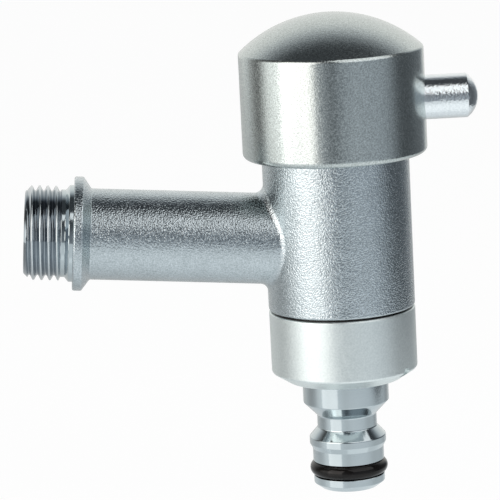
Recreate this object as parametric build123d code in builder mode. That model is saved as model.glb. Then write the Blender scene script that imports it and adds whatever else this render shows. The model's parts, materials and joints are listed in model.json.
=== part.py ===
from build123d import *
import os
from math import asin, atan2, cos, radians, sin, sqrt, tan

os.makedirs("parts", exist_ok=True)

# Sizes are millimetres. X runs along the inlet pipe, out of the wall, from the flange's wall face.
# Z is up. The valve axis crosses the pipe axis at the reach and leans back towards the wall.
# Levels are measured up the valve axis from that crossing.

# Inlet end
reach = 58.75                   # wall face of the flange to the valve axis
valve_lean = 4.75               # degrees from upright, outlet away from the wall
inlet_thread_d = 20.955         # G 1/2 major diameter
inlet_thread_length = 10.75     # wall face of the flange to the free end
inlet_thread_chamfer = 1.45     # bevel on the free end
inlet_bore_d = 14.0             # waterway in the pipe
flange_d = 25.2
flange_thickness = 2.0
flange_cone = 1.8               # length of the cone behind the flange
flange_round = 0.5
pipe_d = 20.1
junction_round = 1.9            # cast round where pipe and barrel meet

# Barrel
barrel_d = 32.5
barrel_foot = -14.75
barrel_edge_round = 0.5
chamber_d = 26.0                # water space round the disc cage
chamber_room_below = 1.0        # chamber below the waterway
chamber_room_above = 1.6
outlet_bore_d = 12.0
headwork_thread_d = 20.8        # insert's thread, left plain
spigot_d = 24.0                 # threaded end under the barrel, left plain
spigot_length = 7.0

# Clearances
thread_clearance = 0.05         # radial, between mating threads left plain
running_clearance = 0.05        # radial, turning or sliding fits
press_gap = 0.03                # ring in its groove
loose_clearance = 0.3           # radial, turning pieces that must not touch
face_clearance = 0.05           # axial, between faces that slide on one another
lapped_gap = 0.01               # axial, between ground or sealing faces
cage_clearance = 0.15           # radial, fixed disc in the cage
key_clearance = 0.1             # keys and tabs in their slots
cut_margin = 1.0                # how far a cut runs past the face it leaves

# Ceramic headwork
seal_height = 2.0
seal_outer_d = 16.8
seal_inner_d = 13.8
disc_thickness = 3.5
fixed_disc_d = 17.0
port_inner_d = 4.8              # ports through the fixed disc
port_outer_d = 13.2
port_half_angle = 38.0
opening_half_angle = 42.0       # openings of the moving disc, to its edge
disc_hub_d = 4.4
disc_tab_width = 3.0
disc_overhang = 0.6             # fixed disc below the cage
cage_wall = 0.85
window_half_angle = 50.0
window_height = 5.0
foot_thickness = 3.6            # spindle's foot on the moving disc
key_width = 3.0
key_depth = 1.5
key_length = 12.5
slide_washer_thickness = 0.75
insert_ring_section = 1.6
insert_ring_room = 0.2          # recess wider than the ring
insert_ring_drop = 0.4          # recess deeper than the ring
insert_land = 1.3               # flange's seat outside the recess
insert_flange_thickness = 1.4
insert_hex = 19.0               # across flats
insert_hex_height = 2.1
stop_height = 1.7
stop_outer_d = 16.4
stop_wall = 1.7
stop_washer_room = 0.4          # radial, stop washer inside the stop ring
lug_half_angle = 20.0
lug_short = 0.2                 # radial, lug inside the stop ring's outside
stop_play = 0.5                 # degrees of play at each stop
quarter_turn = 90.0

# Spindle
spindle_d = 9.2
spindle_ring_section = 1.2
spindle_ring_rise = 5.6         # first ring above the housing's shoulder
spindle_ring_pitch = 4.0
spindle_groove_width = 1.5
drive_square = 6.4
drive_corner_d = 8.0
drive_shoulder_drop = 1.0       # square starts below the housing's top
drive_length = 11.5             # square inside the boss
drive_end_room = 0.5
drive_clearance = 0.05
circlip_groove_d = 5.8
circlip_width = 0.8
circlip_outer_d = 9.6
circlip_gap_angle = 50.0

# Domed cap and lever pin
cap_d = 40.7
cap_foot = 19.4
cap_height = 31.3
cap_overlap = 1.2               # barrel's top inside the cap
dome_radius = 29.6
cap_rim_round = 1.0
cap_foot_round = 1.2
cap_wall = 2.3
boss_d = 21.0
boss_gap = 0.5                  # circlip to the boss
pin_rise = 11.5                 # above the cap's foot
pin_d = 9.8
pin_seat_depth = 1.15           # into the cap's wall
pin_projection = 9.1            # straight part outside the wall
pin_dome_height = 2.5
pin_shank_d = 5.9
pin_bevel = 0.35
set_screw_d = 5.8
set_screw_length = 3.9
set_screw_gap = 0.7             # set screw to the pin's end
set_screw_socket = 3.0          # across flats
set_screw_socket_depth = 1.8

# Collar and gasket
gasket_thickness = 0.4
gasket_inset = 0.55             # radial, inside the collar's outside
collar_d = 32.45
collar_straight = 13.6          # height of the cylindrical part
collar_edge_round = 0.7
collar_cone_height = 2.2
collar_cone_run = 3.45          # radial width of the underside cone
notch_r = 1.4
notch_depth = 1.6
notch_drop = 0.3                # centre below the collar's lower edge
notch_bearing = 54.0            # degrees from the front, towards the lever pin
collar_floor_drop = 2.0         # spigot's end to the collar's inner floor

# Non-return cartridge
cartridge_d = 18.4
cartridge_drop = 1.3            # barrel's foot to the cartridge's top
cartridge_top_gap = 0.1
cartridge_edge_round = 0.4
cartridge_plate = 1.6
cartridge_inlet_d = 8.0
cartridge_wall = 2.2
cartridge_flange_room = 0.2     # radial, flange inside the collar's thread
cartridge_flange_gap = 0.3      # spigot's end to the flange
cartridge_tail_wall = 1.25
cartridge_tail_length = 6.4
cartridge_ring_section = 1.5
cartridge_ring_drop = 3.3       # top of the cartridge to its ring
spider_thickness = 2.0
spider_hub_d = 4.6
spider_arm_width = 1.3
poppet_d = 10.8
poppet_seal_thickness = 1.0
poppet_seal_inner_d = 5.2
poppet_disc_thickness = 1.2
poppet_nose = 1.5
poppet_nose_round = 0.5
stem_d = 2.5
stem_short = 0.2                # tip held back from the cartridge's end
stem_round = 0.3
spring_d = 6.6
spring_wire_d = 0.6
spring_end_gap = 0.15
spring_turns = 5

# Hose plug, read down from the collar's foot
plug_shank_d = 16.6
plug_shank_wall = 1.35
plug_gasket_thickness = 0.6
plug_tail_clearance = 0.1       # radial, cartridge's tail in the plug
plug_tail_gap = 0.2             # cartridge's end to the plug's step
plug_collar_d = 19.1
plug_collar_length = 5.25
plug_cone_length = 3.0
plug_neck_d = 13.26
plug_neck_length = 2.85
plug_flare_length = 2.1
plug_lip_d = 17.04
plug_lip_length = 1.5
plug_lip_step = 1.2
plug_nose_d = 15.84
plug_ring_drop = 4.5            # nose's top to the ring
plug_ring_section = 3.3
plug_ring_outer_d = 17.36
plug_nose_rest = 3.3            # ring to the end of the straight nose
plug_end_bevel = 1.2
plug_end_d = 12.7
plug_bore_d = 8.4
plug_bore_bevel = 0.4
plug_crisp_round = 0.25         # edges of the turned shape
plug_soft_round = 0.4
groove_lip_round = 0.1

# Levels and radii that follow from the sizes above
lean = radians(valve_lean)
barrel_r = barrel_d / 2
barrel_top = cap_foot + cap_overlap
seat_level = -inlet_bore_d / 2 - chamber_room_below
chamber_top = inlet_bore_d / 2 + chamber_room_above
headwork_r = headwork_thread_d / 2
barrel_bore_r = headwork_r + thread_clearance
insert_recess_r = headwork_r + insert_ring_section + insert_ring_room
insert_recess_depth = insert_ring_section + insert_ring_drop
fixed_disc_foot = seat_level + seal_height
fixed_disc_top = fixed_disc_foot + disc_thickness
moving_disc_foot = fixed_disc_top + lapped_gap
moving_disc_top = moving_disc_foot + disc_thickness
foot_top = moving_disc_top + foot_thickness
shoulder_level = foot_top + face_clearance + slide_washer_thickness
cage_bore_r = fixed_disc_d / 2 + cage_clearance
cage_r = cage_bore_r + cage_wall
cage_foot = fixed_disc_foot + disc_overhang
moving_r = cage_bore_r - loose_clearance
spindle_r = spindle_d / 2
spindle_bore_r = spindle_r + running_clearance
lower_ring_level = shoulder_level + spindle_ring_rise
spindle_ring_levels = (lower_ring_level, lower_ring_level + spindle_ring_pitch)
insert_flange_r = insert_recess_r + insert_land
insert_hex_foot = barrel_top + insert_flange_thickness
insert_top = insert_hex_foot + insert_hex_height
stop_outer_r = stop_outer_d / 2
stop_inner_r = stop_outer_r - stop_wall
stop_washer_r = stop_inner_r - stop_washer_room
stop_top = insert_top + stop_height
washer_foot = insert_top + face_clearance
washer_top = stop_top - face_clearance
drive_foot = insert_top - drive_shoulder_drop
drive_hole = drive_square + 2 * drive_clearance
drive_hole_corner_r = drive_corner_d / 2 + drive_clearance
boss_foot = stop_top + circlip_width + boss_gap
drive_top = boss_foot + drive_length
cap_r = cap_d / 2
cap_top = cap_foot + cap_height
pin_level = cap_foot + pin_rise
pin_r = pin_d / 2
pin_shoulder = cap_r - pin_seat_depth
pin_straight_end = cap_r + pin_projection
pin_shank_end = drive_square / 2 + set_screw_length + set_screw_gap
spigot_end = barrel_foot - spigot_length
spigot_r = spigot_d / 2
collar_bore_r = spigot_r + thread_clearance
cartridge_r = cartridge_d / 2
pocket_r = cartridge_r + running_clearance
cartridge_top = barrel_foot - cartridge_drop
pocket_top = cartridge_top + cartridge_top_gap
cartridge_chamber_r = cartridge_r - cartridge_wall
cartridge_flange_r = spigot_r - cartridge_flange_room
collar_r = collar_d / 2
collar_top = barrel_foot - gasket_thickness
collar_edge = collar_top - collar_straight
collar_foot = collar_edge - collar_cone_height
collar_floor = spigot_end - collar_floor_drop
plug_shank_r = plug_shank_d / 2
tail_bore_r = plug_shank_r - plug_shank_wall
cartridge_tail_r = tail_bore_r - plug_tail_clearance
cartridge_tail_bore_r = cartridge_tail_r - cartridge_tail_wall
poppet_seat = cartridge_top - cartridge_plate
poppet_seal_foot = poppet_seat - lapped_gap - poppet_seal_thickness
poppet_foot = poppet_seal_foot - poppet_disc_thickness
cartridge_end = collar_floor - cartridge_tail_length
spider_top = cartridge_end + spider_thickness
plug_shank_top = collar_floor - plug_gasket_thickness
plug_step = cartridge_end - plug_tail_gap
plug_collar_end = collar_foot - plug_collar_length
plug_neck_top = plug_collar_end - plug_cone_length
plug_neck_end = plug_neck_top - plug_neck_length
plug_lip_top = plug_neck_end - plug_flare_length
plug_lip_end = plug_lip_top - plug_lip_length
plug_nose_top = plug_lip_end - plug_lip_step
plug_ring_level = plug_nose_top - plug_ring_drop
plug_nose_end = plug_ring_level - plug_nose_rest
plug_end = plug_nose_end - plug_end_bevel

# The valve axis, a plane that holds it, and level planes along it
axis_up = Vector(-sin(lean), 0, cos(lean))
axis_out = Vector(cos(lean), 0, sin(lean))
crossing = Vector(reach, 0, 0)
valve_axis = Axis(crossing, axis_up)
valve_plane = Plane(origin=crossing, x_dir=axis_out, z_dir=(0, -1, 0))
pipe_plane = Plane(origin=(0, 0, 0), x_dir=(1, 0, 0), z_dir=(0, -1, 0))


def level_plane(level):
    """Plane square to the valve axis, its X towards the lever pin."""
    return Plane(origin=crossing + axis_up * level, x_dir=axis_out, z_dir=axis_up)


def outline(corners):
    """Closed outline through corners (x, y); a third number rounds that corner."""
    count = len(corners)
    into = []
    out_of = []
    bulge = []
    for i in range(count):
        here = Vector(corners[i][0], corners[i][1])
        before = Vector(corners[i - 1][0], corners[i - 1][1])
        after = Vector(corners[(i + 1) % count][0], corners[(i + 1) % count][1])
        if len(corners[i]) == 2:
            into.append(here)
            out_of.append(here)
            bulge.append(None)
            continue
        size = corners[i][2]
        u = (before - here).normalized()
        v = (after - here).normalized()
        half = radians(u.get_angle(v)) / 2
        middle = here + (u + v).normalized() * (size / sin(half))
        into.append(here + u * (size / tan(half)))
        out_of.append(here + v * (size / tan(half)))
        bulge.append(middle + (here - middle).normalized() * size)
    for i in range(count):
        if bulge[i] is not None:
            ThreePointArc(into[i], bulge[i], out_of[i])
        Line(out_of[i], into[(i + 1) % count])


def ring_sector(inner, outer, start, sweep_angle):
    """Outline of a ring sector between two radii."""
    a = radians(start)
    b = radians(start + sweep_angle)
    CenterArc((0, 0), outer, start, sweep_angle)
    Line((outer * cos(b), outer * sin(b)), (inner * cos(b), inner * sin(b)))
    CenterArc((0, 0), inner, start, sweep_angle)
    Line((inner * cos(a), inner * sin(a)), (outer * cos(a), outer * sin(a)))


# Valve body: barrel and pipe first, so that the cast round runs where they meet
with BuildPart() as valve_body:
    with BuildSketch(valve_plane):
        with BuildLine():
            outline([
                (0, barrel_foot),
                (barrel_r, barrel_foot, barrel_edge_round),
                (barrel_r, barrel_top, barrel_edge_round),
                (0, barrel_top),
            ])
        make_face()
    revolve(axis=valve_axis)
    with BuildSketch(pipe_plane):
        with BuildLine():
            outline([(reach / 2, 0), (reach, 0), (reach, pipe_d / 2), (reach / 2, pipe_d / 2)])
        make_face()
    revolve(axis=Axis.X)
    saddle = valve_body.edges().filter_by(lambda e: e.geom_type not in (GeomType.LINE, GeomType.CIRCLE))
    fillet(saddle, radius=junction_round)
    # flange and plain end for the inlet thread
    with BuildSketch(pipe_plane):
        with BuildLine():
            outline([
                (-inlet_thread_length, 0),
                (-inlet_thread_length, inlet_thread_d / 2 - inlet_thread_chamfer),
                (-inlet_thread_length + inlet_thread_chamfer, inlet_thread_d / 2),
                (0, inlet_thread_d / 2),
                (0, flange_d / 2, flange_round),
                (flange_thickness, flange_d / 2, flange_round),
                (flange_thickness + flange_cone, pipe_d / 2, flange_round),
                (reach / 2 + cut_margin, pipe_d / 2),
                (reach / 2 + cut_margin, 0),
            ])
        make_face()
    revolve(axis=Axis.X)
    # threaded spigot under the barrel
    with BuildSketch(valve_plane):
        with BuildLine():
            outline([
                (0, spigot_end),
                (spigot_r, spigot_end, barrel_edge_round),
                (spigot_r, barrel_foot + cut_margin),
                (0, barrel_foot + cut_margin),
            ])
        make_face()
    revolve(axis=valve_axis)
    # bores along the valve axis, from the spigot's end up to the barrel's top
    with BuildSketch(valve_plane):
        with BuildLine():
            outline([
                (0, spigot_end - cut_margin),
                (pocket_r, spigot_end - cut_margin),
                (pocket_r, pocket_top),
                (outlet_bore_d / 2, pocket_top),
                (outlet_bore_d / 2, seat_level),
                (chamber_d / 2, seat_level),
                (chamber_d / 2, chamber_top),
                (barrel_bore_r, chamber_top),
                (barrel_bore_r, barrel_top - insert_recess_depth),
                (insert_recess_r, barrel_top - insert_recess_depth),
                (insert_recess_r, barrel_top + cut_margin),
                (0, barrel_top + cut_margin),
            ])
        make_face()
    revolve(axis=valve_axis, mode=Mode.SUBTRACT)
    # waterway through the pipe into the chamber
    with BuildSketch(Plane.YZ.offset(reach)):
        Circle(inlet_bore_d / 2)
    extrude(amount=-reach - inlet_thread_length - cut_margin, mode=Mode.SUBTRACT)
valve_body.part.label = "valve_body"
export_step(valve_body.part, "parts/valve_body.step")

# Handle: domed cap with its boss
dome_centre = cap_top - dome_radius
rim_r = cap_r - cap_rim_round
rim_rise = sqrt((dome_radius - cap_rim_round) ** 2 - rim_r ** 2)
rim_level = dome_centre + rim_rise
rim_angle = atan2(rim_r, rim_rise)
rim_mid = (rim_angle + radians(90)) / 2
inner_dome = dome_radius - cap_wall
inner_r = cap_r - cap_wall
boss_r = boss_d / 2
inner_edge = asin(inner_r / inner_dome)
boss_edge = asin(boss_r / inner_dome)
inner_mid = (inner_edge + boss_edge) / 2
foot_bulge = cap_foot_round * (1 - cos(radians(45)))
with BuildPart() as handle_cap:
    with BuildSketch(valve_plane):
        with BuildLine():
            ThreePointArc(
                (0, cap_top),
                (dome_radius * sin(rim_angle / 2), dome_centre + dome_radius * cos(rim_angle / 2)),
                (dome_radius * sin(rim_angle), dome_centre + dome_radius * cos(rim_angle)),
            )
            ThreePointArc(
                (dome_radius * sin(rim_angle), dome_centre + dome_radius * cos(rim_angle)),
                (rim_r + cap_rim_round * sin(rim_mid), rim_level + cap_rim_round * cos(rim_mid)),
                (cap_r, rim_level),
            )
            Line((cap_r, rim_level), (cap_r, cap_foot + cap_foot_round))
            ThreePointArc(
                (cap_r, cap_foot + cap_foot_round),
                (cap_r - foot_bulge, cap_foot + foot_bulge),
                (cap_r - cap_foot_round, cap_foot),
            )
            Line((cap_r - cap_foot_round, cap_foot), (inner_r, cap_foot))
            Line((inner_r, cap_foot), (inner_r, dome_centre + inner_dome * cos(inner_edge)))
            ThreePointArc(
                (inner_r, dome_centre + inner_dome * cos(inner_edge)),
                (inner_dome * sin(inner_mid), dome_centre + inner_dome * cos(inner_mid)),
                (boss_r, dome_centre + inner_dome * cos(boss_edge)),
            )
            Line((boss_r, dome_centre + inner_dome * cos(boss_edge)), (boss_r, boss_foot))
            Line((boss_r, boss_foot), (0, boss_foot))
            Line((0, boss_foot), (0, cap_top))
        make_face()
    revolve(axis=valve_axis)
    # square hole for the spindle
    with BuildSketch(level_plane(boss_foot)):
        Circle(drive_hole_corner_r)
        Rectangle(drive_hole, drive_hole, mode=Mode.INTERSECT)
    extrude(amount=drive_length + drive_end_room, mode=Mode.SUBTRACT)
    # hole for lever pin and set screw, and the pin's seat in the wall
    pin_plane = Plane(origin=crossing + axis_up * pin_level, x_dir=(0, 1, 0), z_dir=axis_out)
    with BuildSketch(pin_plane):
        Circle(pin_shank_d / 2 + thread_clearance)
    extrude(amount=cap_r + cut_margin, mode=Mode.SUBTRACT)
    with BuildSketch(pin_plane.offset(pin_shoulder)):
        Circle(pin_r + press_gap)
    extrude(amount=pin_seat_depth + cut_margin, mode=Mode.SUBTRACT)
handle_cap.part.label = "handle_cap"
export_step(handle_cap.part, "parts/handle_cap.step")

# Lever pin with its low domed end
with BuildPart() as lever_pin:
    pin_sketch_plane = Plane(origin=crossing + axis_up * pin_level, x_dir=axis_out, z_dir=(0, -1, 0))
    pin_end_r = (pin_r ** 2 + pin_dome_height ** 2) / (2 * pin_dome_height)
    pin_tip = pin_straight_end + pin_dome_height
    pin_mid = asin(pin_r / pin_end_r) / 2
    with BuildSketch(pin_sketch_plane):
        with BuildLine():
            Line((pin_shank_end, 0), (pin_shank_end, pin_shank_d / 2 - pin_bevel))
            Line((pin_shank_end, pin_shank_d / 2 - pin_bevel), (pin_shank_end + pin_bevel, pin_shank_d / 2))
            Line((pin_shank_end + pin_bevel, pin_shank_d / 2), (pin_shoulder, pin_shank_d / 2))
            Line((pin_shoulder, pin_shank_d / 2), (pin_shoulder, pin_r))
            Line((pin_shoulder, pin_r), (pin_straight_end, pin_r))
            ThreePointArc(
                (pin_straight_end, pin_r),
                (pin_tip - pin_end_r * (1 - cos(pin_mid)), pin_end_r * sin(pin_mid)),
                (pin_tip, 0),
            )
            Line((pin_tip, 0), (pin_shank_end, 0))
        make_face()
    revolve(axis=Axis(crossing + axis_up * pin_level, axis_out))
lever_pin.part.label = "lever_pin"
export_step(lever_pin.part, "parts/lever_pin.step")

# Set screw that bears on the spindle's flat
with BuildPart() as handle_set_screw:
    with BuildSketch(pin_plane.offset(drive_square / 2)):
        Circle(set_screw_d / 2)
    extrude(amount=set_screw_length)
    with BuildSketch(pin_plane.offset(drive_square / 2 + set_screw_length)):
        RegularPolygon(set_screw_socket / 2, 6, major_radius=False)
    extrude(amount=-set_screw_socket_depth, mode=Mode.SUBTRACT)
handle_set_screw.part.label = "handle_set_screw"
export_step(handle_set_screw.part, "parts/handle_set_screw.step")

# Headwork housing: cage, plain thread, flange, hexagon and stop ring
with BuildPart() as headwork_housing:
    with BuildSketch(valve_plane):
        with BuildLine():
            outline([
                (0, cage_foot),
                (cage_r, cage_foot),
                (cage_r, chamber_top),
                (headwork_r, chamber_top),
                (headwork_r, barrel_top),
                (insert_flange_r, barrel_top),
                (insert_flange_r, insert_hex_foot),
                (0, insert_hex_foot),
            ])
        make_face()
    revolve(axis=valve_axis)
    with BuildSketch(level_plane(insert_hex_foot)):
        RegularPolygon(insert_hex / 2, 6, major_radius=False)
    extrude(amount=insert_hex_height)
    stop_start = lug_half_angle + quarter_turn + stop_play
    stop_sweep = 360 - 2 * lug_half_angle - quarter_turn - 2 * stop_play
    with BuildSketch(level_plane(insert_top)):
        with BuildLine():
            ring_sector(stop_inner_r, stop_outer_r, stop_start, stop_sweep)
        make_face()
    extrude(amount=stop_height)
    with BuildSketch(valve_plane):
        with BuildLine():
            outline([
                (0, cage_foot - cut_margin),
                (cage_bore_r, cage_foot - cut_margin),
                (cage_bore_r, shoulder_level),
                (spindle_bore_r, shoulder_level),
                (spindle_bore_r, insert_top + cut_margin),
                (0, insert_top + cut_margin),
            ])
        make_face()
    revolve(axis=valve_axis, mode=Mode.SUBTRACT)
    for bearing in (0, 180):
        with BuildSketch(level_plane(moving_disc_foot)):
            with BuildLine():
                ring_sector(
                    cage_bore_r - cut_margin,
                    cage_r + cut_margin,
                    bearing - window_half_angle,
                    2 * window_half_angle,
                )
            make_face()
        extrude(amount=window_height, mode=Mode.SUBTRACT)
    with BuildSketch(level_plane(cage_foot)):
        Rectangle(disc_tab_width + 2 * key_clearance, 2 * (cage_r + cut_margin))
    extrude(amount=fixed_disc_top - cage_foot, mode=Mode.SUBTRACT)
headwork_housing.part.label = "headwork_housing"
export_step(headwork_housing.part, "parts/headwork_housing.step")

# Ring that seals the housing in the barrel
with BuildPart() as headwork_o_ring:
    insert_ring_r = headwork_r + press_gap + insert_ring_section / 2
    with BuildSketch(valve_plane):
        with Locations((insert_ring_r, barrel_top - insert_ring_section / 2 - press_gap)):
            Circle(insert_ring_section / 2)
    revolve(axis=valve_axis)
headwork_o_ring.part.label = "headwork_o_ring"
export_step(headwork_o_ring.part, "parts/headwork_o_ring.step")

# Spindle: foot with drive key, stem with ring grooves, square top with circlip groove
with BuildPart() as spindle:
    groove_r = spindle_bore_r - press_gap - spindle_ring_section
    profile = [
        (0, moving_disc_top),
        (moving_r, moving_disc_top),
        (moving_r, foot_top),
        (spindle_r, foot_top),
    ]
    for ring_level in spindle_ring_levels:
        profile.append((spindle_r, ring_level - spindle_groove_width / 2))
        profile.append((groove_r - press_gap, ring_level - spindle_groove_width / 2))
        profile.append((groove_r - press_gap, ring_level + spindle_groove_width / 2))
        profile.append((spindle_r, ring_level + spindle_groove_width / 2))
    profile.append((spindle_r, drive_foot))
    profile.append((0, drive_foot))
    with BuildSketch(valve_plane):
        with BuildLine():
            outline(profile)
        make_face()
    revolve(axis=valve_axis)
    with BuildSketch(level_plane(moving_disc_top)):
        Rectangle(key_length, key_width)
    extrude(amount=-key_depth)
    with BuildSketch(level_plane(drive_foot)):
        Circle(drive_corner_d / 2)
        Rectangle(drive_square, drive_square, mode=Mode.INTERSECT)
    extrude(amount=drive_top - drive_foot)
    with BuildSketch(level_plane(stop_top)):
        Circle(drive_corner_d)
        Circle(circlip_groove_d / 2, mode=Mode.SUBTRACT)
    extrude(amount=circlip_width, mode=Mode.SUBTRACT)
spindle.part.label = "spindle"
export_step(spindle.part, "parts/spindle.step")

# Two equal rings on the spindle
with BuildPart() as spindle_o_rings:
    for ring_level in spindle_ring_levels:
        with BuildSketch(valve_plane):
            with Locations((groove_r + spindle_ring_section / 2, ring_level)):
                Circle(spindle_ring_section / 2)
        revolve(axis=valve_axis)
spindle_o_rings.part.label = "spindle_o_rings"
export_step(spindle_o_rings.part, "parts/spindle_o_rings.step")

# Stop washer with its lug, at the closed stop
with BuildPart() as stop_washer:
    with BuildSketch(level_plane(washer_foot)):
        Circle(stop_washer_r)
        with BuildLine():
            ring_sector(drive_corner_d / 2, stop_outer_r - lug_short, -lug_half_angle, 2 * lug_half_angle)
        make_face()
        with BuildSketch(mode=Mode.SUBTRACT):
            Circle(drive_hole_corner_r)
            Rectangle(drive_hole, drive_hole, mode=Mode.INTERSECT)
    extrude(amount=washer_top - washer_foot)
stop_washer.part.label = "stop_washer"
export_step(stop_washer.part, "parts/stop_washer.step")

# Circlip, an open ring in the spindle's groove
with BuildPart() as spindle_circlip:
    with BuildSketch(level_plane(stop_top + press_gap)):
        with BuildLine():
            ring_sector(
                circlip_groove_d / 2 + press_gap,
                circlip_outer_d / 2,
                circlip_gap_angle / 2,
                360 - circlip_gap_angle,
            )
        make_face()
    extrude(amount=circlip_width - 2 * press_gap)
spindle_circlip.part.label = "spindle_circlip"
export_step(spindle_circlip.part, "parts/spindle_circlip.step")

# Thrust washer under the housing's shoulder
with BuildPart() as slide_washer:
    with BuildSketch(level_plane(shoulder_level)):
        Circle(cage_bore_r - running_clearance)
        Circle(spindle_r + loose_clearance, mode=Mode.SUBTRACT)
    extrude(amount=-slide_washer_thickness)
slide_washer.part.label = "slide_washer"
export_step(slide_washer.part, "parts/slide_washer.step")

# Moving disc, closed at rest, with openings to its edge and a slot for the key
with BuildPart() as moving_disc:
    with BuildSketch(level_plane(moving_disc_foot)):
        Circle(moving_r)
        for bearing in (90, 270):
            with BuildLine():
                ring_sector(
                    disc_hub_d / 2,
                    moving_r + cut_margin,
                    bearing - opening_half_angle,
                    2 * opening_half_angle,
                )
            make_face(mode=Mode.SUBTRACT)
    extrude(amount=disc_thickness)
    with BuildSketch(level_plane(moving_disc_top)):
        Rectangle(key_length + 2 * key_clearance, key_width + 2 * key_clearance)
    extrude(amount=-key_depth - key_clearance, mode=Mode.SUBTRACT)
moving_disc.part.label = "moving_disc"
export_step(moving_disc.part, "parts/moving_disc.step")

# Fixed disc with its two ports and the tabs that key it to the cage
with BuildPart() as fixed_disc:
    with BuildSketch(level_plane(fixed_disc_foot)):
        Circle(fixed_disc_d / 2)
        Rectangle(disc_tab_width, 2 * (cage_r - key_clearance))
        for bearing in (0, 180):
            with BuildLine():
                ring_sector(
                    port_inner_d / 2,
                    port_outer_d / 2,
                    bearing - port_half_angle,
                    2 * port_half_angle,
                )
            make_face(mode=Mode.SUBTRACT)
    extrude(amount=disc_thickness)
fixed_disc.part.label = "fixed_disc"
export_step(fixed_disc.part, "parts/fixed_disc.step")

# Seal between fixed disc and seat
with BuildPart() as seat_seal:
    with BuildSketch(level_plane(seat_level)):
        Circle(seal_outer_d / 2)
        Circle(seal_inner_d / 2, mode=Mode.SUBTRACT)
    extrude(amount=seal_height)
seat_seal.part.label = "seat_seal"
export_step(seat_seal.part, "parts/seat_seal.step")

# Flat gasket between barrel and collar
with BuildPart() as outlet_gasket:
    with BuildSketch(level_plane(barrel_foot)):
        Circle(collar_r - gasket_inset)
        Circle(collar_bore_r, mode=Mode.SUBTRACT)
    extrude(amount=-gasket_thickness)
outlet_gasket.part.label = "outlet_gasket"
export_step(outlet_gasket.part, "parts/outlet_gasket.step")

# Collar with its coned underside and two spanner notches
with BuildPart() as outlet_collar:
    with BuildSketch(valve_plane):
        with BuildLine():
            outline([
                (collar_bore_r, collar_top),
                (collar_bore_r, collar_floor),
                (plug_shank_r + thread_clearance, collar_floor),
                (plug_shank_r + thread_clearance, collar_foot),
                (collar_r - collar_cone_run, collar_foot),
                (collar_r, collar_edge, collar_edge_round),
                (collar_r, collar_top, collar_edge_round / 2),
            ])
        make_face()
    revolve(axis=valve_axis)
    for turn in (0, 180):
        aim = radians(notch_bearing - 90 + turn)
        aim_dir = axis_out * cos(aim) + Vector(0, 1, 0) * sin(aim)
        start = crossing + axis_up * (collar_edge - notch_drop) + aim_dir * (collar_r - notch_depth)
        with BuildSketch(Plane(origin=start, x_dir=axis_up, z_dir=aim_dir)):
            Circle(notch_r)
        extrude(amount=notch_depth + cut_margin, mode=Mode.SUBTRACT)
outlet_collar.part.label = "outlet_collar"
export_step(outlet_collar.part, "parts/outlet_collar.step")

# Housing of the non-return cartridge
with BuildPart() as check_valve_housing:
    ring_level = cartridge_top - cartridge_ring_drop
    ring_half = cartridge_ring_section / 2 + press_gap
    flange_top = spigot_end - cartridge_flange_gap
    with BuildSketch(valve_plane):
        with BuildLine():
            outline([
                (cartridge_inlet_d / 2, cartridge_top),
                (cartridge_r, cartridge_top, cartridge_edge_round),
                (cartridge_r, ring_level + ring_half),
                (cartridge_r - cartridge_ring_section, ring_level + ring_half),
                (cartridge_r - cartridge_ring_section, ring_level - ring_half),
                (cartridge_r, ring_level - ring_half),
                (cartridge_r, flange_top),
                (cartridge_flange_r, flange_top),
                (cartridge_flange_r, collar_floor),
                (cartridge_tail_r, collar_floor),
                (cartridge_tail_r, cartridge_end),
                (cartridge_tail_bore_r, cartridge_end),
                (cartridge_tail_bore_r, flange_top),
                (cartridge_chamber_r, flange_top),
                (cartridge_chamber_r, poppet_seat),
                (cartridge_inlet_d / 2, poppet_seat),
            ])
        make_face()
    revolve(axis=valve_axis)
    # three-armed guide for the stem
    with BuildSketch(level_plane(cartridge_end)):
        Circle(spider_hub_d / 2)
        with PolarLocations(cartridge_tail_bore_r / 2, 3):
            Rectangle(cartridge_tail_bore_r + cartridge_tail_wall, spider_arm_width)
        Circle(stem_d / 2 + running_clearance, mode=Mode.SUBTRACT)
    extrude(amount=spider_thickness)
check_valve_housing.part.label = "check_valve_housing"
export_step(check_valve_housing.part, "parts/check_valve_housing.step")

# Ring round the cartridge
with BuildPart() as check_valve_o_ring:
    with BuildSketch(valve_plane):
        with Locations((pocket_r - press_gap / 2 - cartridge_ring_section / 2, ring_level)):
            Circle(cartridge_ring_section / 2)
    revolve(axis=valve_axis)
check_valve_o_ring.part.label = "check_valve_o_ring"
export_step(check_valve_o_ring.part, "parts/check_valve_o_ring.step")

# Poppet, closed at rest
with BuildPart() as check_valve_poppet:
    nose_r = poppet_seal_inner_d / 2 - press_gap
    stem_tip = cartridge_end + stem_short
    with BuildSketch(valve_plane):
        with BuildLine():
            outline([
                (0, stem_tip),
                (stem_d / 2, stem_tip, stem_round),
                (stem_d / 2, poppet_foot),
                (poppet_d / 2, poppet_foot),
                (poppet_d / 2, poppet_seal_foot),
                (nose_r, poppet_seal_foot),
                (nose_r, poppet_seal_foot + poppet_nose, poppet_nose_round),
                (0, poppet_seal_foot + poppet_nose),
            ])
        make_face()
    revolve(axis=valve_axis)
check_valve_poppet.part.label = "check_valve_poppet"
export_step(check_valve_poppet.part, "parts/check_valve_poppet.step")

# Seal on the poppet's face
with BuildPart() as check_valve_seal:
    with BuildSketch(level_plane(poppet_seal_foot)):
        Circle(poppet_d / 2)
        Circle(poppet_seal_inner_d / 2, mode=Mode.SUBTRACT)
    extrude(amount=poppet_seal_thickness)
check_valve_seal.part.label = "check_valve_seal"
export_step(check_valve_seal.part, "parts/check_valve_seal.step")

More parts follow.
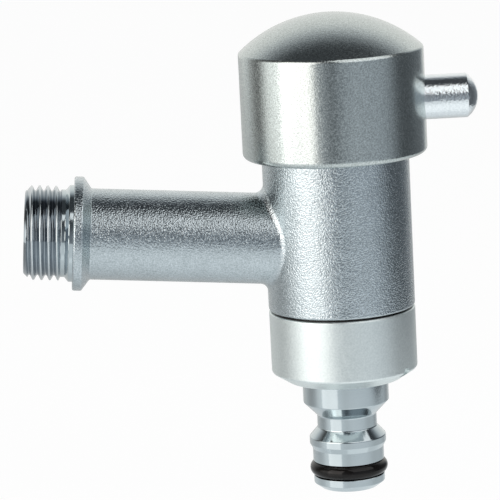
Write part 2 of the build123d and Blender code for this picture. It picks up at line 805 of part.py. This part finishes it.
# Spring between poppet and guide
with BuildPart() as check_valve_spring:
    coil_foot = spider_top + spring_end_gap + spring_wire_d / 2
    coil_height = poppet_foot - spring_end_gap - spring_wire_d / 2 - coil_foot
    coil_start = crossing + axis_up * coil_foot
    with BuildLine() as coil:
        Helix(coil_height / spring_turns, coil_height, spring_d / 2, center=coil_start, direction=axis_up)
    with BuildSketch(Plane(origin=coil.line @ 0, z_dir=coil.line % 0)):
        Circle(spring_wire_d / 2)
    sweep(path=coil.line)
check_valve_spring.part.label = "check_valve_spring"
export_step(check_valve_spring.part, "parts/check_valve_spring.step")

# Flat gasket on the plug's shank
with BuildPart() as plug_gasket:
    with BuildSketch(level_plane(collar_floor)):
        Circle(plug_shank_r)
        Circle(tail_bore_r, mode=Mode.SUBTRACT)
    extrude(amount=-plug_gasket_thickness)
plug_gasket.part.label = "plug_gasket"
export_step(plug_gasket.part, "parts/plug_gasket.step")

# Turned hose plug
with BuildPart() as hose_plug:
    groove_half = plug_ring_section / 2 + press_gap
    groove_floor = plug_ring_outer_d / 2 - plug_ring_section - press_gap
    with BuildSketch(valve_plane):
        with BuildLine():
            outline([
                (tail_bore_r, plug_shank_top),
                (plug_shank_r, plug_shank_top),
                (plug_shank_r, collar_foot),
                (plug_collar_d / 2, collar_foot),
                (plug_collar_d / 2, plug_collar_end, plug_crisp_round),
                (plug_neck_d / 2, plug_neck_top, plug_soft_round),
                (plug_neck_d / 2, plug_neck_end, plug_soft_round),
                (plug_lip_d / 2, plug_lip_top, plug_soft_round),
                (plug_lip_d / 2, plug_lip_end, plug_crisp_round),
                (plug_nose_d / 2, plug_nose_top),
                (plug_nose_d / 2, plug_ring_level + groove_half, groove_lip_round),
                (groove_floor, plug_ring_level + groove_half),
                (groove_floor, plug_ring_level - groove_half),
                (plug_nose_d / 2, plug_ring_level - groove_half, groove_lip_round),
                (plug_nose_d / 2, plug_nose_end, plug_crisp_round),
                (plug_end_d / 2, plug_end, plug_crisp_round),
                (plug_bore_d / 2 + plug_bore_bevel, plug_end),
                (plug_bore_d / 2, plug_end + plug_bore_bevel),
                (plug_bore_d / 2, plug_step),
                (tail_bore_r, plug_step),
            ])
        make_face()
    revolve(axis=valve_axis)
hose_plug.part.label = "hose_plug"
export_step(hose_plug.part, "parts/hose_plug.step")

# Ring on the plug
with BuildPart() as plug_o_ring:
    with BuildSketch(valve_plane):
        with Locations(((plug_ring_outer_d - plug_ring_section) / 2, plug_ring_level)):
            Circle(plug_ring_section / 2)
    revolve(axis=valve_axis)
plug_o_ring.part.label = "plug_o_ring"
export_step(plug_o_ring.part, "parts/plug_o_ring.step")
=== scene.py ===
import json
from math import cos, pi, radians, sin, tan

import bmesh
import bpy
from mathutils import Matrix, Vector


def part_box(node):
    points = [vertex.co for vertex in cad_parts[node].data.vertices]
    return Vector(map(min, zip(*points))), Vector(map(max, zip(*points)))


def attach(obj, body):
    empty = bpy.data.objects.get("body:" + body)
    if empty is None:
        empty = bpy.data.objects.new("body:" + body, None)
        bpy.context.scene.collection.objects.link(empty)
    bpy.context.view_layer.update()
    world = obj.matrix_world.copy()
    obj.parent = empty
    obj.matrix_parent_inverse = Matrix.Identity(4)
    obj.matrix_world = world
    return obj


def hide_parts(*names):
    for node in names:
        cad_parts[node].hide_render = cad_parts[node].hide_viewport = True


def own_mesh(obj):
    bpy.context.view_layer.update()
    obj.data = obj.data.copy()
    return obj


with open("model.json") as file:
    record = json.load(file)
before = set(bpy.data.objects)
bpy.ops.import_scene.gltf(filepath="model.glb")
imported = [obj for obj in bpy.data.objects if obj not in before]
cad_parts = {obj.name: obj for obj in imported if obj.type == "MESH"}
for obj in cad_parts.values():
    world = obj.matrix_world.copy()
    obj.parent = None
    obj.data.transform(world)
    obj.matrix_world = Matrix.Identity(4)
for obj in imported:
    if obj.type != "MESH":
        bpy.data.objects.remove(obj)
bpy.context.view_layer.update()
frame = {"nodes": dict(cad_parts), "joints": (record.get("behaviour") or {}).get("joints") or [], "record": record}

# Lengths in metres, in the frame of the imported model: X out of the wall along the pipe, Z up.
MM = 0.001
UP = Vector((0.0, 0.0, 1.0))

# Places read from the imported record
MOUNTS = {mount["name"]: mount for mount in frame["record"]["mounts"]}
JOINTS = {joint["name"]: joint for joint in frame["joints"]}
VALVE_UP = Vector(JOINTS["handle_turn"]["axis"]).normalized()
THREAD_R = MOUNTS["inlet_thread"]["dims"]["r_mm"] * MM
BORE_R = MOUNTS["inlet_bore"]["dims"]["r_mm"] * MM
FREE_END_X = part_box("valve_body")[0].x
FOOT_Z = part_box("hose_plug")[0].z

# Inlet thread
THREAD_PITCH = 1.814 * MM
THREAD_FLANK = radians(27.5)          # half of the thread's angle
THREAD_DEPTH = 0.6403 * THREAD_PITCH
THREAD_ROUND = 5                      # higher is sharper at crest and root
END_BEVEL = 1.45 * MM
RUNOUT_X = -2.6 * MM                  # plain groove where the thread stops
RUNOUT_R = 9.65 * MM
RUNOUT_EASE = 0.4 * MM
RISE_X = -1.75 * MM                   # short cone out of the groove
SHANK_X = -0.9 * MM                   # plain shank against the flange
SHANK_R = 10.68 * MM
BORE_BEVEL = 0.5 * MM

# Meshes
THREAD_ROWS = 160                     # round the pipe
THREAD_STEPS = 20                     # along one pitch
LEAD_TURNS = 1.5                      # before the free end, pressed flat onto it
SPARE_TURNS = 3                       # lead and what passes the flange, together
WELD = 0.0005 * MM
SLIVER = 0.0002 * MM
SMOOTH_LIMIT = radians(40)            # sharper edges stay sharp

# Grain shared by several looks
TOOL_LINE = 0.12 * MM
MOULD_DEPTH = 0.004 * MM
SLOW_DETAIL = 3.0                     # of the noise that drifts the tone

# Camera
CAMERA_TARGET = Vector((39.11, 0.0, -2.706)) * MM
CAMERA_DISTANCE = 751.8 * MM
CAMERA_YAW = radians(2.853)
CAMERA_PITCH = radians(10.771)
CAMERA_ROLL = radians(1.975)
CAMERA_LENS = 244.8                   # millimetres, on a sensor 36 wide
SENSOR_WIDTH = 36.0
NEAREST_SEEN = 0.01
AHEAD = Vector((sin(CAMERA_YAW), cos(CAMERA_YAW), 0.0))
RIGHT = Vector((cos(CAMERA_YAW), -sin(CAMERA_YAW), 0.0))

# Floor: a board whose front edge slants away to the right
FLOOR_DROP = 11 * MM                  # under the plug
FLOOR_EDGE = [
    (-0.27, -0.28), (0.02, -0.28), (0.145, -0.39), (0.29, -0.39), (0.29, 6.0), (-0.27, 6.0),
]
FLOOR_TONES = ((0.86, 0.86, 0.86), (0.9, 0.9, 0.9))
FLOOR_MOTTLE = 60 * MM
FLOOR_ROUGH = 0.6
FLOOR_GLOW = 1.045
FLOOR_GLOW_SEEN = 0.9                 # share of the glow in the camera's view
FLOOR_IN_TAP = (0.95, 1.0, 1.03)      # cooler glow where the tap mirrors the board
# Painted shade on the board as the tap mirrors it: the glow fades towards the back, under and behind the tap
FLOOR_FRONT = Vector((0.36, -0.93, 0.0))
FLOOR_PAINTED_SHADE_RISE = (-0.062, 0.04, 0.2, 0.98)   # start and stop along it, and the glow's share at both: painted shade, with less glow in the tap's reflections behind and under the tap, where its shadow falls
FLOOR_GLOSS = 0.05
FLOOR_GLOSS_IOR = 2.8

# Lamps, seen from the tap: azimuth towards the right of the camera, elevation up
LAMPS = {
    "key_panel": {
        "azimuth": -44.5, "elevation": 12, "distance": 1.2, "width": 1.0, "height": 1.28,
        "brightness": 1.75, "colour": (1.0, 0.935, 0.89),
    },
    "high_panel": {
        "azimuth": 45, "elevation": 46, "distance": 0.7, "width": 0.87, "height": 0.588,
        "brightness": 1.06, "colour": (1.0, 1.0, 1.0),
    },
}

# World: azimuth and elevation of a part, the cosines where it starts and is full, its level at both
OVERHEAD = (0.1, 0.85, 0.11, 0.055)   # dim, darker straight up
BACKDROP = 0.95
BACKDROP_AT = (180, 0)
BACKDROP_FADE = (0.22, 0.82, 0.0, 1.0)
CARD_AT = (121, -8)                   # dark card that hides some of the backdrop
CARD_FADE = (0.77, 0.945, 1.0, 0.10)
LEFT_AT = (-78, -5)                   # the left side's light is as warm as the backdrop's
LEFT_FADE = (0.3, 0.8, 0.0, 1.0)
COOL = (0.91, 1.0, 1.10)              # light from the front of the studio
WARM = (1.0, 1.0, 0.975)              # light from the backdrop
WHITE = (1.0, 1.0, 1.0)

# Soft glows low round the tap: azimuth, cosines where each starts and is full, and what it adds
GLOW_ELEVATION = -5
GLOWS = ((42, 0.64, 0.985, 0.335), (-50, 0.616, 0.906, 0.38), (-74, 0.848, 0.99, 0.95))


def feed(tree, socket, source):
    """A socket takes another socket's value or a constant."""
    if isinstance(source, bpy.types.NodeSocket):
        tree.links.new(source, socket)
    else:
        socket.default_value = source


def shade(name):
    """New node material: its tree, its Principled shader and the Object coordinates."""
    material = bpy.data.materials.new(name)
    material.use_nodes = True
    tree = material.node_tree
    shader = tree.nodes["Principled BSDF"]
    place = tree.nodes.new("ShaderNodeTexCoord").outputs["Object"]
    return material, tree, shader, place


def coat(tree, shader, colour, rough, normal):
    """The shader takes its colour, roughness and normal."""
    for name, source in (("Base Color", colour), ("Roughness", rough), ("Normal", normal)):
        tree.links.new(source, shader.inputs[name])


def noise(tree, place, size, detail=2.0):
    """Noise with grains of about that size, 0 to 1."""
    node = tree.nodes.new("ShaderNodeTexNoise")
    node.inputs["Scale"].default_value = 1 / size
    node.inputs["Detail"].default_value = detail
    tree.links.new(place, node.inputs["Vector"])
    return node.outputs["Fac"]


def spread(tree, value, low, high, start=0.3, stop=0.7, step="LINEAR"):
    """A value's stretch from start to stop mapped to low and high. Most of a noise lies in 0.3 to 0.7."""
    node = tree.nodes.new("ShaderNodeMapRange")
    node.interpolation_type = step
    for name, number in (("From Min", start), ("From Max", stop), ("To Min", low), ("To Max", high)):
        node.inputs[name].default_value = number
    tree.links.new(value, node.inputs["Value"])
    return node.outputs["Result"]


def vector_math(tree, operation, *vectors):
    """Outputs of one operation on vectors. Each is a socket or a constant."""
    node = tree.nodes.new("ShaderNodeVectorMath")
    node.operation = operation
    for socket, vector in zip(node.inputs, vectors):
        feed(tree, socket, vector)
    return node.outputs


def component(tree, place, direction):
    """Part of the coordinates along a direction."""
    return vector_math(tree, "DOT_PRODUCT", place, direction)["Value"]


def towards(tree, place, direction, start, stop, low, high):
    """Smooth step on the coordinates' part along a direction."""
    return spread(tree, component(tree, place, direction), low, high, start, stop, step="SMOOTHSTEP")


def blend(tree, kind, share, under, over):
    """Mix of two values or colours by a share. Each is a socket or a constant."""
    node = tree.nodes.new("ShaderNodeMix")
    node.data_type = kind
    for name, source in (("Factor", share), ("A", under), ("B", over)):
        feed(tree, node.inputs[name], source)
    return node.outputs["Result"]


def tint(tree, share, dark, light):
    """Colour between two, by a share."""
    return blend(tree, "RGBA", share, (*dark, 1), (*light, 1))


def combine(tree, operation, *values):
    """Values through one operation. Each is a socket or a number."""
    node = tree.nodes.new("ShaderNodeMath")
    node.operation = operation
    for socket, value in zip(node.inputs, values):
        feed(tree, socket, value)
    return node.outputs["Value"]


def bump(tree, height, distance, under=None):
    """Bump of a height, over another bump where one is given."""
    node = tree.nodes.new("ShaderNodeBump")
    node.inputs["Strength"].default_value = 1.0
    node.inputs["Distance"].default_value = distance
    tree.links.new(height, node.inputs["Height"])
    if under is not None:
        tree.links.new(under, node.inputs["Normal"])
    return node.outputs["Normal"]


def laid_over(tree, share, under, over):
    """One shader laid over another by a share."""
    node = tree.nodes.new("ShaderNodeMixShader")
    for socket, source in zip(node.inputs, (share, under, over)):
        tree.links.new(source, socket)
    return node.outputs["Shader"]


def tool_lines(tree, place, axis):
    """Fine lines square to an axis, as turning leaves them."""
    join = tree.nodes.new("ShaderNodeCombineXYZ")
    tree.links.new(component(tree, place, axis), join.inputs["X"])
    return noise(tree, join.outputs["Vector"], TOOL_LINE, detail=1.0)


def metal(
    name, dark, light, rough, grain, depth,
    detail=2.0, drift=6 * MM, speckle=0.3, turning=None, turn_depth=0.0,
):
    """Metal with grain, drifting tone and, on turned pieces, tool lines square to an axis."""
    material, tree, shader, place = shade(name)
    shader.inputs["Metallic"].default_value = 1.0
    slow = noise(tree, place, drift, SLOW_DETAIL)
    fine = noise(tree, place, grain, detail)
    tone = spread(tree, blend(tree, "FLOAT", speckle, slow, fine), 0.0, 1.0)
    normal = bump(tree, fine, depth)
    if turning is not None:
        normal = bump(tree, tool_lines(tree, place, turning), turn_depth, under=normal)
    coat(tree, shader, tint(tree, tone, dark, light), spread(tree, fine, *rough), normal)
    return material


def thread_metal(name, root, crest, rough, grain, depth):
    """Metal on the thread with painted shade: bright crests, and the colour darkens towards the bottom of the
    groove where shade falls.
    """
    material, tree, shader, place = shade(name)
    shader.inputs["Metallic"].default_value = 1.0
    across = vector_math(tree, "MULTIPLY", place, (0, 1, 1))["Vector"]
    radius = vector_math(tree, "LENGTH", across)["Value"]
    # Painted shade: share of the crest colour by radius, dark in the grooves
    height = spread(tree, radius, 0.0, 1.0, THREAD_R - 0.5 * THREAD_DEPTH, THREAD_R)
    fine = noise(tree, place, grain)
    coat(tree, shader, tint(tree, height, root, crest), spread(tree, fine, *rough), bump(tree, fine, depth))
    return material


def moulded(name, dark, light, rough, drift=2 * MM, grain=0.3 * MM, specular=0.5):
    """Moulded plastic, rubber or ceramic with a faint mottle."""
    material, tree, shader, place = shade(name)
    shader.inputs["Specular IOR Level"].default_value = specular
    slow = noise(tree, place, drift, SLOW_DETAIL)
    normal = bump(tree, noise(tree, place, grain), MOULD_DEPTH)
    coat(tree, shader, tint(tree, slow, dark, light), spread(tree, slow, *rough), normal)
    return material


LOOKS = {
    "plated_casting": metal(
        "plated_casting_look", dark=(0.415, 0.465, 0.48), light=(0.645, 0.71, 0.74), rough=(0.12, 0.22),
        grain=0.34 * MM, depth=0.12 * MM, detail=1.0, drift=5 * MM, speckle=0.75,
    ),
    "satin_cap": metal(
        "satin_cap_look", dark=(0.395, 0.43, 0.42), light=(0.675, 0.73, 0.72), rough=(0.16, 0.26),
        grain=0.32 * MM, depth=0.022 * MM, speckle=0.95,
    ),
    "polished_chrome": metal(
        "polished_chrome_look", dark=(0.52, 0.585, 0.605), light=(0.57, 0.63, 0.65), rough=(0.07, 0.14),
        grain=0.4 * MM, depth=0.003 * MM, turning=VALVE_UP, turn_depth=0.001 * MM,
    ),
    "satin_nickel": metal(
        "satin_nickel_look", dark=(0.725, 0.785, 0.775), light=(0.86, 0.915, 0.905), rough=(0.34, 0.46),
        grain=0.40 * MM, depth=0.030 * MM, speckle=0.8,
    ),
    "brass": metal(
        "brass_look", dark=(0.66, 0.47, 0.18), light=(0.76, 0.58, 0.26), rough=(0.18, 0.32),
        grain=0.3 * MM, depth=0.003 * MM, turning=VALVE_UP, turn_depth=0.003 * MM,
    ),
    "steel": metal(
        "steel_look", dark=(0.48, 0.48, 0.49), light=(0.58, 0.58, 0.59), rough=(0.22, 0.36),
        grain=0.2 * MM, depth=0.003 * MM,
    ),
    "black_rubber": moulded(
        "black_rubber_look", dark=(0.006, 0.005, 0.005), light=(0.014, 0.012, 0.011), rough=(0.06, 0.10),
        drift=1.5 * MM, grain=0.2 * MM, specular=0.25,
    ),
    "ceramic": moulded(
        "ceramic_look", dark=(0.86, 0.84, 0.79), light=(0.92, 0.91, 0.87), rough=(0.12, 0.2),
    ),
    "white_plastic": moulded(
        "white_plastic_look", dark=(0.80, 0.80, 0.78), light=(0.87, 0.87, 0.85), rough=(0.38, 0.5),
    ),
    "grey_plastic": moulded(
        "grey_plastic_look", dark=(0.30, 0.32, 0.35), light=(0.38, 0.40, 0.43), rough=(0.38, 0.5),
    ),
}

# Pieces that differ from the rest of their slot
PIN_LOOK = metal(
    "bright_pin_look", dark=(0.76, 0.81, 0.83), light=(0.90, 0.94, 0.95), rough=(0.09, 0.16),
    grain=0.48 * MM, depth=0.06 * MM, speckle=0.7,
)
# The darker root colour is painted shade in the thread's grooves
THREAD_LOOK = thread_metal(
    "thread_look", root=(0.37, 0.41, 0.44), crest=(0.62, 0.66, 0.68), rough=(0.04, 0.08),
    grain=0.4 * MM, depth=0.002 * MM,
)


def dress_nodes():
    """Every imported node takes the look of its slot."""
    for row in frame["record"]["subparts"]:
        materials = frame["nodes"][row["node"]].data.materials
        materials.clear()
        materials.append(PIN_LOOK if row["node"] == "lever_pin" else LOOKS[row["material_slot"]])


def add_object(name, data):
    """Object for a mesh, lamp or camera, in the scene."""
    thing = bpy.data.objects.new(name, data)
    bpy.context.scene.collection.objects.link(thing)
    return thing


def new_piece(name, mesh, body, look):
    """Object for a mesh, riding on a body."""
    piece = add_object(name, mesh)
    mesh.materials.clear()
    mesh.materials.append(look)
    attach(piece, body)
    return piece


def finished_mesh(shape, name):
    """Mesh of a closed shape, its faces turned outwards and smooth."""
    bmesh.ops.recalc_face_normals(shape, faces=shape.faces)
    mesh = bpy.data.meshes.new(name)
    shape.to_mesh(mesh)
    shape.free()
    mesh.polygons.foreach_set("use_smooth", [True] * len(mesh.polygons))
    return mesh


def weigh_by_area(mesh):
    """Normals weighted by face area, so that long walls stay true beside their small edge rounds."""
    faces = [(face.normal.copy(), face.area, tuple(face.vertices)) for face in mesh.polygons]
    around = [[] for _ in mesh.vertices]
    for normal, area, corners in faces:
        for corner in corners:
            around[corner].append((normal, area * normal))
    least = cos(SMOOTH_LIMIT)
    normals = []
    for normal, _, corners in faces:
        for corner in corners:
            shares = [share for other, share in around[corner] if other.dot(normal) > least]
            normals.append(sum(shares, Vector()).normalized() if shares else normal)
    mesh.normals_split_custom_set(normals)
    mesh.update()


def cut_casting():
    """The cast body without its plain inlet shank, closed with a ring in the flange's plane."""
    shape = bmesh.new()
    shape.from_mesh(frame["nodes"]["valve_body"].data)
    bmesh.ops.remove_doubles(shape, verts=shape.verts, dist=WELD)
    everything = shape.verts[:] + shape.edges[:] + shape.faces[:]
    bmesh.ops.bisect_plane(
        shape, geom=everything, dist=WELD, plane_co=(0, 0, 0), plane_no=(1, 0, 0), clear_inner=True,
    )
    rim = [edge for edge in shape.edges if edge.is_boundary]
    bmesh.ops.bridge_loops(shape, edges=rim)
    mesh = finished_mesh(shape, "casting")
    weigh_by_area(mesh)
    piece = new_piece("casting", mesh, "tap", LOOKS["plated_casting"])
    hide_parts("valve_body")


def check_spring():
    """The non-return spring as a copy of its node's mesh. On the real tap it shortens onto its foot as the poppet
    opens.
    """
    mesh = frame["nodes"]["check_valve_spring"].data.copy()
    piece = new_piece("check_spring", mesh, "tap", LOOKS["steel"])
    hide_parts("check_valve_spring")
    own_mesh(piece)


def thread_radius(phase):
    """Radius of the rounded 55 degree thread at a phase of 0 to 1, crest at 0."""
    limit = THREAD_DEPTH / 2
    away = abs((phase + 0.5) % 1.0 - 0.5)
    rise = (0.25 - away) * THREAD_PITCH / tan(THREAD_FLANK)
    ratio = rise / limit
    return THREAD_R - limit + limit * ratio / (1 + abs(ratio) ** THREAD_ROUND) ** (1 / THREAD_ROUND)


def outer_radius(x, phase):
    """Outside of the inlet end at a place along the pipe: bevel, thread, run-out groove, cone and shank."""
    if x >= SHANK_X:
        return SHANK_R
    if x >= RISE_X:
        return RUNOUT_R + (SHANK_R - RUNOUT_R) * (x - RISE_X) / (SHANK_X - RISE_X)
    if x >= RUNOUT_X:
        return RUNOUT_R
    bevel = THREAD_R - END_BEVEL + (x - FREE_END_X)
    ease = max(0.0, 1 - (RUNOUT_X - x) / RUNOUT_EASE)
    thread = min(thread_radius(phase), bevel)
    return thread + (RUNOUT_R - thread) * ease


def ring_vertex(shape, x, radius, row):
    """Vertex of the inlet end, by its row round the pipe."""
    angle = 2 * pi * row / THREAD_ROWS
    return shape.verts.new((x, radius * cos(angle), radius * sin(angle)))


def add_thread_wall(shape):
    """Outer wall of the inlet end. Its columns follow the helix."""
    columns = (round(-FREE_END_X / THREAD_PITCH) + SPARE_TURNS) * THREAD_STEPS
    first = FREE_END_X - LEAD_TURNS * THREAD_PITCH
    grid = []
    for row in range(THREAD_ROWS):
        line = []
        for column in range(columns):
            phase = column / THREAD_STEPS
            x = first + THREAD_PITCH * (phase + row / THREAD_ROWS)
            x = min(max(x, FREE_END_X), 0.0)
            line.append(ring_vertex(shape, x, outer_radius(x, phase), row))
        grid.append(line)
    for row in range(THREAD_ROWS):
        after = (row + 1) % THREAD_ROWS
        shift = THREAD_STEPS if after == 0 else 0
        for column in range(columns - 1 - shift):
            shape.faces.new((
                grid[row][column], grid[row][column + 1],
                grid[after][column + 1 + shift], grid[after][column + shift],
            ))


def add_bore_wall(shape):
    """Both ends of the inlet and the waterway between them."""
    profile = [
        (0.0, SHANK_R),
        (0.0, BORE_R),
        (FREE_END_X + BORE_BEVEL, BORE_R),
        (FREE_END_X, BORE_R + BORE_BEVEL),
        (FREE_END_X, THREAD_R - END_BEVEL),
    ]
    rings = [[ring_vertex(shape, x, radius, row) for row in range(THREAD_ROWS)] for x, radius in profile]
    for here, beyond in zip(rings, rings[1:]):
        for row in range(THREAD_ROWS):
            after = (row + 1) % THREAD_ROWS
            shape.faces.new((here[row], here[after], beyond[after], beyond[row]))


def inlet_thread():
    """Threaded inlet end as one closed tube, with the thread's look as far as the groove."""
    shape = bmesh.new()
    add_thread_wall(shape)
    add_bore_wall(shape)
    bmesh.ops.remove_doubles(shape, verts=shape.verts, dist=WELD)
    bmesh.ops.dissolve_degenerate(shape, edges=shape.edges, dist=SLIVER)
    mesh = finished_mesh(shape, "inlet_thread")
    mesh.set_sharp_from_angle(angle=SMOOTH_LIMIT)
    mesh.update()
    new_piece("inlet_thread", mesh, "tap", THREAD_LOOK)
    mesh.materials.append(LOOKS["polished_chrome"])
    for face in mesh.polygons:
        face.material_index = int(face.center.x > RUNOUT_X)


def from_target(azimuth, elevation):
    """Direction from the tap: azimuth from the camera's side towards the right, elevation up, in degrees."""
    az = radians(azimuth)
    el = radians(elevation)
    return cos(el) * (sin(az) * RIGHT - cos(az) * AHEAD) + sin(el) * UP


def placed(place, right, up, back):
    """Placement of a camera or lamp by the directions of its own axes."""
    return Matrix.Translation(place) @ Matrix((right, up, back)).transposed().to_4x4()


def add_camera():
    """Camera at the photograph's view."""
    look = Vector((
        sin(CAMERA_YAW) * cos(CAMERA_PITCH), cos(CAMERA_YAW) * cos(CAMERA_PITCH), -sin(CAMERA_PITCH),
    ))
    rise = RIGHT.cross(look)
    right = cos(CAMERA_ROLL) * RIGHT + sin(CAMERA_ROLL) * rise
    up = cos(CAMERA_ROLL) * rise - sin(CAMERA_ROLL) * RIGHT
    data = bpy.data.cameras.new("camera")
    data.lens = CAMERA_LENS
    data.sensor_width = SENSOR_WIDTH
    data.clip_start = NEAREST_SEEN
    camera = add_object("camera", data)
    camera.matrix_world = placed(CAMERA_TARGET - CAMERA_DISTANCE * look, right, up, -look)
    bpy.context.scene.camera = camera


def add_lamps():
    """Soft rectangular lamps of an even brightness, facing the tap."""
    for name, panel in LAMPS.items():
        data = bpy.data.lights.new(name, "AREA")
        data.color = panel["colour"]
        data.shape = "RECTANGLE"
        data.size = panel["width"]
        data.size_y = panel["height"]
        data.energy = panel["brightness"] * pi * panel["width"] * panel["height"]
        back = from_target(panel["azimuth"], panel["elevation"])
        across = UP.cross(back).normalized()
        lamp = add_object(name, data)
        lamp.matrix_world = placed(
            CAMERA_TARGET + panel["distance"] * back, across, back.cross(across), back,
        )


def add_floor():
    """White gloss board that keeps a soft shadow. Its gloss shows only in the tap. The glow that the tap mirrors
    carries painted shade: it is lower behind and under the tap, where the tap's shadow falls.
    """
    z = FOOT_Z - FLOOR_DROP
    mesh = bpy.data.meshes.new("floor")
    mesh.from_pydata([(x, y, z) for x, y in FLOOR_EDGE], [], [range(len(FLOOR_EDGE))])
    material, tree, shader, place = shade("floor_look")
    mottle = noise(tree, place, FLOOR_MOTTLE)
    tree.links.new(tint(tree, mottle, *FLOOR_TONES), shader.inputs["Base Color"])
    shader.inputs["Roughness"].default_value = FLOOR_ROUGH
    ray = tree.nodes.new("ShaderNodeLightPath").outputs
    in_tap = ray["Is Glossy Ray"]
    glow = tree.nodes.new("ShaderNodeEmission")
    glow.inputs["Strength"].default_value = FLOOR_GLOW
    tree.links.new(tint(tree, in_tap, WHITE, FLOOR_IN_TAP), glow.inputs["Color"])
    # Painted shade: the glow seen in the tap is weaker behind and under the tap
    share = combine(tree, "MULTIPLY", in_tap, towards(tree, place, FLOOR_FRONT, *FLOOR_PAINTED_SHADE_RISE))
    share = combine(tree, "MULTIPLY_ADD", ray["Is Camera Ray"], FLOOR_GLOW_SEEN, share)
    board = laid_over(tree, share, shader.outputs["BSDF"], glow.outputs["Emission"])
    gloss = tree.nodes.new("ShaderNodeBsdfGlossy")
    gloss.inputs["Roughness"].default_value = FLOOR_GLOSS
    edge = tree.nodes.new("ShaderNodeFresnel")
    edge.inputs["IOR"].default_value = FLOOR_GLOSS_IOR
    mirror = combine(tree, "MULTIPLY", edge.outputs["Fac"], in_tap)
    board = laid_over(tree, mirror, board, gloss.outputs["BSDF"])
    tree.links.new(board, tree.nodes["Material Output"].inputs["Surface"])
    mesh.materials.append(material)
    add_object("floor", mesh)


def add_world():
    """Studio round the tap: white behind it, dim in front, dark overhead. The camera sees plain white."""
    world = bpy.data.worlds.new("studio")
    bpy.context.scene.world = world
    world.use_nodes = True
    tree = world.node_tree
    place = tree.nodes.new("ShaderNodeTexCoord").outputs["Generated"]
    level = towards(tree, place, UP, *OVERHEAD)
    for azimuth, start, full, added in GLOWS:
        glow = towards(tree, place, from_target(azimuth, GLOW_ELEVATION), start, full, 0.0, added)
        level = combine(tree, "ADD", level, glow)
    backdrop = towards(tree, place, from_target(*BACKDROP_AT), *BACKDROP_FADE)
    card = towards(tree, place, from_target(*CARD_AT), *CARD_FADE)
    white = combine(tree, "MULTIPLY", backdrop, card)
    level = blend(tree, "FLOAT", white, level, BACKDROP)
    left = towards(tree, place, from_target(*LEFT_AT), *LEFT_FADE)
    colour = tint(tree, combine(tree, "MAXIMUM", white, left), COOL, WARM)
    seen = tree.nodes.new("ShaderNodeLightPath").outputs["Is Camera Ray"]
    background = tree.nodes["Background"]
    tree.links.new(combine(tree, "MAXIMUM", level, seen), background.inputs["Strength"])
    tree.links.new(blend(tree, "RGBA", seen, colour, (*WHITE, 1)), background.inputs["Color"])


dress_nodes()
cut_casting()
check_spring()
inlet_thread()
add_camera()
add_floor()
add_world()
add_lamps()
bpy.context.scene.view_settings.view_transform = "Standard"
